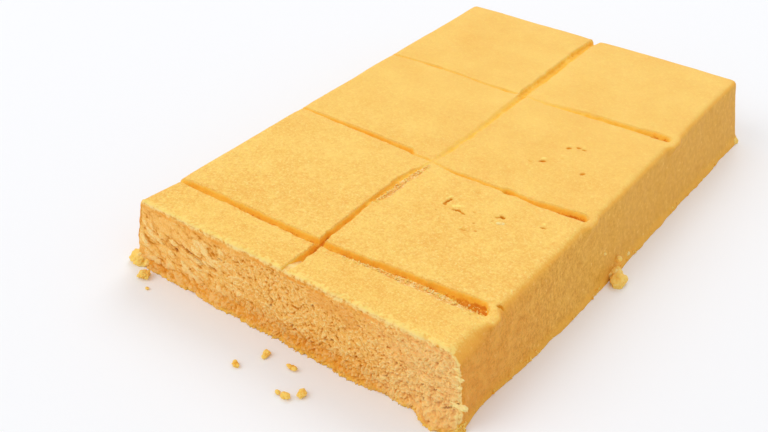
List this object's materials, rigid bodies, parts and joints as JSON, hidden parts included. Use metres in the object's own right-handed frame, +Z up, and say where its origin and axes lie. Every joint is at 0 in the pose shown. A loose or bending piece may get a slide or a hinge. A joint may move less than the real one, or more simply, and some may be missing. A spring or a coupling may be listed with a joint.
{
  "type": "soft almond nougat slab",
  "caption": "Soft almond nougat in one low slab, turned out of a tin, scored into squares on top and cut across the front, with a crumbly cut face and a ragged foot.",
  "frame": {"origin": "on the board's surface, under the middle of the slab's top", "axes": "+Z up; +Y along the slab's length, from the cut face to the far end; +X across its width, to the right when the cut face is seen from in front"},
  "size_m": [0.1159, 0.1707, 0.0216],
  "materials": {
    "nougat": "golden, matte and slightly moist, finely grained on the moulded faces and crumbly on the cut face"
  },
  "bodies": {
    "root": {"nougat_slab": "nougat"}
  },
  "joints": []
}
